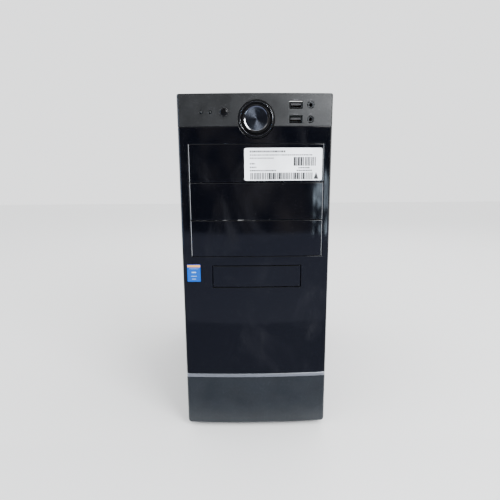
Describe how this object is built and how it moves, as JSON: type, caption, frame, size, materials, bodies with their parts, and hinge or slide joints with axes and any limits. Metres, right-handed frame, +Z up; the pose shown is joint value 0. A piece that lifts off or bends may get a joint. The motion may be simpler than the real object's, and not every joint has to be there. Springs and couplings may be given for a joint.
{
  "type": "desktop computer tower",
  "caption": "Small tower computer with a crowned glossy front, round power button, blanked drive bays, front sockets, sliding side panels and the working parts inside.",
  "frame": {"origin": "on the floor, under the middle of the tower", "axes": "+X to the right seen from the front, +Y towards the rear, +Z up; the front faces -Y"},
  "size_m": [0.173, 0.42, 0.4],
  "materials": {
    "gloss_black": "piano black, polished, with fine dust and hairline marks",
    "graphite_plastic": "fine-textured graphite grey",
    "satin_black_plastic": "satin black, finely textured",
    "silver_plastic": "satin silver",
    "spun_metal": "concentric spun lines, dark tinted",
    "painted_steel": "black powder coat, fine grain",
    "zinc_steel": "bare zinc-coated sheet",
    "aluminium": "cast or extruded, bare",
    "circuit_board": "green solder mask",
    "light_pipe": "clear acrylic",
    "label_paper": null,
    "badge_enamel": "domed resin, plain blue with an amber band",
    "rubber": "black, matt",
    "cable_jacket": "black sleeve",
    "red_cable_jacket": "red PVC"
  },
  "bodies": {
    "tower": {"bezel_carrier": "satin_black_plastic", "control_panel": "graphite_plastic", "gloss_fascia": "gloss_black", "trim_strip": "silver_plastic", "lower_fascia": "graphite_plastic", "bay_cover_1": "gloss_black", "bay_cover_2": "gloss_black", "bay_cover_3": "gloss_black", "small_bay_cover": "gloss_black", "stock_label": "label_paper", "case_badge": "badge_enamel", "power_button_ring": "satin_black_plastic", "power_button_spring": "zinc_steel", "led_light_pipe": "light_pipe", "front_io_board": "circuit_board", "usb_socket_upper": "zinc_steel", "usb_socket_lower": "zinc_steel", "audio_jack_upper": "satin_black_plastic", "audio_jack_lower": "satin_black_plastic", "chassis_floor": "zinc_steel", "chassis_top_cover": "painted_steel", "chassis_front_panel": "zinc_steel", "chassis_rear_panel": "zinc_steel", "motherboard_tray": "zinc_steel", "bay_cage_left_wall": "zinc_steel", "bay_cage_right_wall": "zinc_steel", "drive_cage": "zinc_steel", "foot_front_left": "rubber", "foot_front_right": "rubber", "foot_rear_left": "rubber", "foot_rear_right": "rubber", "slot_cover_1": "zinc_steel", "slot_cover_2": "zinc_steel", "slot_cover_3": "zinc_steel", "slot_cover_4": "zinc_steel", "rear_fan_frame": "satin_black_plastic", "cpu_heatsink": "aluminium", "cpu_fan_frame": "satin_black_plastic", "motherboard": "circuit_board", "rear_io_block": "zinc_steel", "io_shield": "zinc_steel", "memory_module_1": "circuit_board", "memory_module_2": "circuit_board", "psu_case": "zinc_steel", "psu_cover": "zinc_steel", "power_inlet": "satin_black_plastic", "hard_disk": "aluminium", "main_power_harness": "cable_jacket", "disk_data_cable": "red_cable_jacket", "front_panel_harness": "cable_jacket"},
    "power_button": {"power_button": "spun_metal"},
    "reset_button": {"reset_button": "satin_black_plastic"},
    "cpu_fan_rotor": {"cpu_fan_rotor": "satin_black_plastic"},
    "rear_fan_rotor": {"rear_fan_rotor": "satin_black_plastic"},
    "psu_fan_rotor": {"psu_fan_rotor": "satin_black_plastic"},
    "power_rocker": {"power_rocker": "satin_black_plastic"},
    "left_side_panel": {"left_side_panel": "painted_steel"},
    "thumbscrew_lower": {"thumbscrew_lower": "silver_plastic"},
    "thumbscrew_upper": {"thumbscrew_upper": "silver_plastic"},
    "right_side_panel": {"right_side_panel": "painted_steel"}
  },
  "joints": [
    {"name": "power_button_press", "type": "slide", "parent": "tower", "child": "power_button", "axis": [0, 1, 0], "range_m": [0, 0.0025], "stiffness_N_per_m": 300, "springref_m": -0.002, "deforming": ["power_button_spring"]},
    {"name": "reset_button_press", "type": "slide", "parent": "tower", "child": "reset_button", "axis": [0, 1, 0], "range_m": [0, 0.0015], "stiffness_N_per_m": 300, "springref_m": -0.001},
    {"name": "cpu_fan_spin", "type": "hinge", "parent": "tower", "child": "cpu_fan_rotor", "pos_m": [0.02, 0.1088, 0.2368], "axis": [-1, 0, 0], "continuous": true},
    {"name": "rear_fan_spin", "type": "hinge", "parent": "tower", "child": "rear_fan_rotor", "pos_m": [-0.0294, 0.188, 0.2478], "axis": [0, -1, 0], "continuous": true},
    {"name": "psu_fan_spin", "type": "hinge", "parent": "tower", "child": "psu_fan_rotor", "pos_m": [0, 0.1305, 0.318], "axis": [0, 0, 1], "continuous": true},
    {"name": "power_rocker_tilt", "type": "hinge", "parent": "tower", "child": "power_rocker", "pos_m": [0.0235, 0.1965, 0.3533], "axis": [1, 0, 0], "range_deg": [-16, 0]},
    {"name": "left_side_panel_slide", "type": "slide", "parent": "tower", "child": "left_side_panel", "axis": [0, 1, 0], "range_m": [0, 0.38]},
    {"name": "thumbscrew_lower_turn", "type": "hinge", "parent": "left_side_panel", "child": "thumbscrew_lower", "pos_m": [-0.0815, 0.205, 0.046], "axis": [0, 1, 0], "continuous": true},
    {"name": "thumbscrew_upper_turn", "type": "hinge", "parent": "left_side_panel", "child": "thumbscrew_upper", "pos_m": [-0.0815, 0.205, 0.358], "axis": [0, 1, 0], "continuous": true},
    {"name": "right_side_panel_slide", "type": "slide", "parent": "tower", "child": "right_side_panel", "axis": [0, 1, 0], "range_m": [0, 0.38]}
  ]
}
